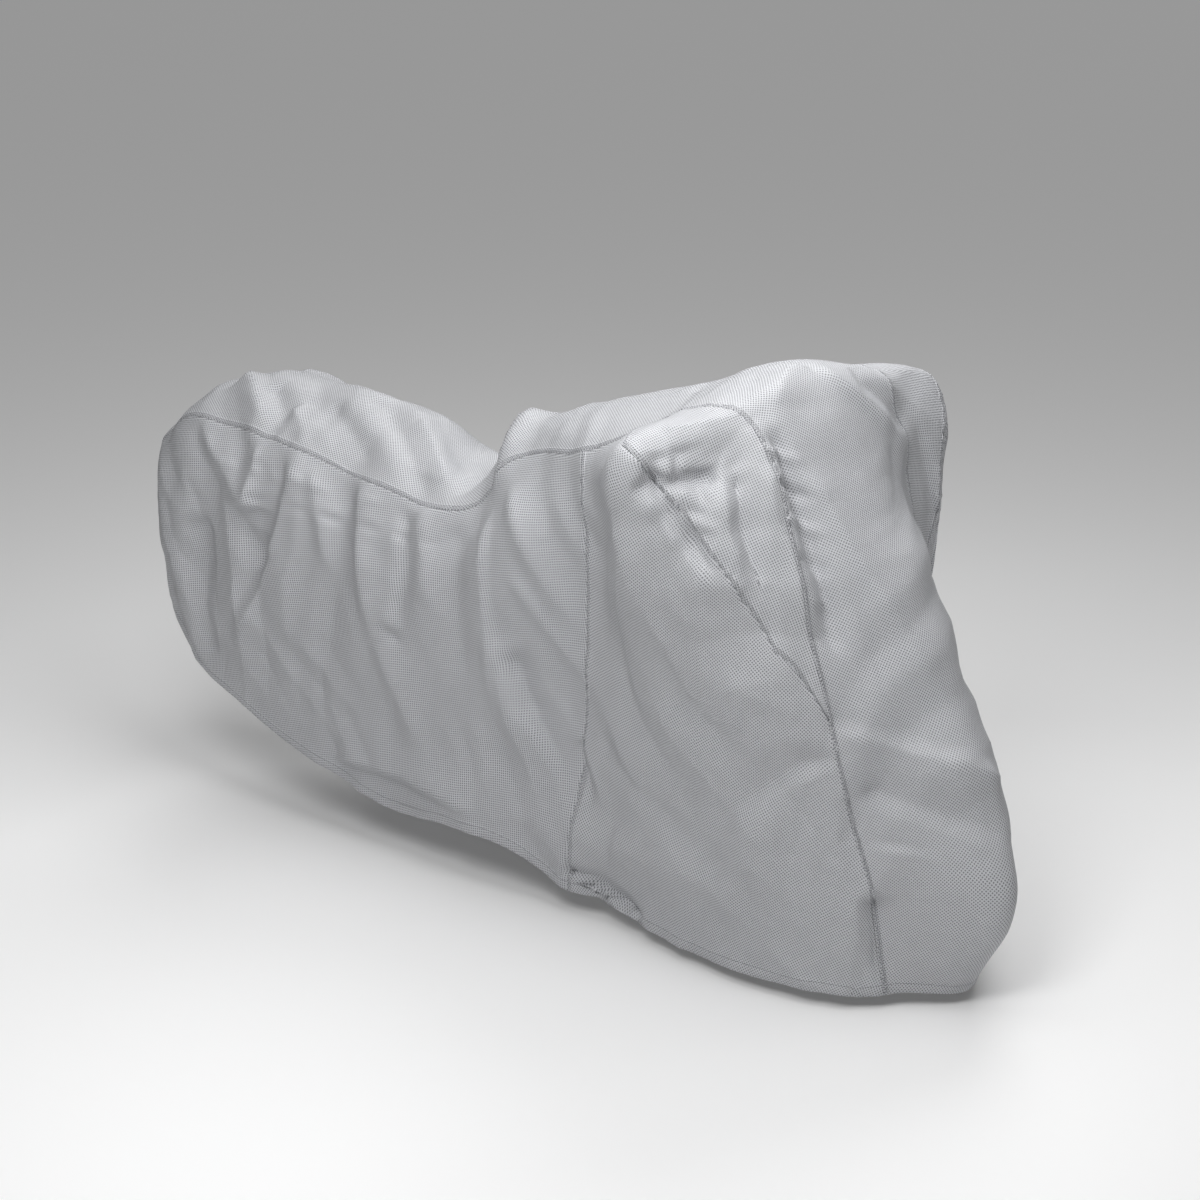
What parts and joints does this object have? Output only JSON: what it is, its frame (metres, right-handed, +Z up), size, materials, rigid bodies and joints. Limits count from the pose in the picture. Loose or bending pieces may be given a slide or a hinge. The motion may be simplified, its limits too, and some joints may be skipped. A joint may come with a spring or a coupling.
{
  "type": "motorcycle cover",
  "caption": "Fitted outdoor cover of sewn nonwoven cloth, hollow and open below, with a rounded tail, a low dip in its back and wide pockets at the front.",
  "frame": {"origin": "just under the cloth of the top, where the cover is held up, 0.93 m above the ground it hangs over", "axes": "+X towards the front of the cover, +Y to its left side, +Z up"},
  "size_m": [2.0921, 0.7934, 1.1081],
  "materials": {
    "nonwoven_cloth": "light silver grey spunbond nonwoven, matt, embossed with a fine grid of dots"
  },
  "bodies": {
    "root": {"centre_strip": "nonwoven_cloth", "right_rear_side": "nonwoven_cloth", "right_front_side": "nonwoven_cloth", "right_gusset": "nonwoven_cloth", "left_rear_side": "nonwoven_cloth", "left_front_side": "nonwoven_cloth", "left_gusset": "nonwoven_cloth"}
  },
  "joints": []
}
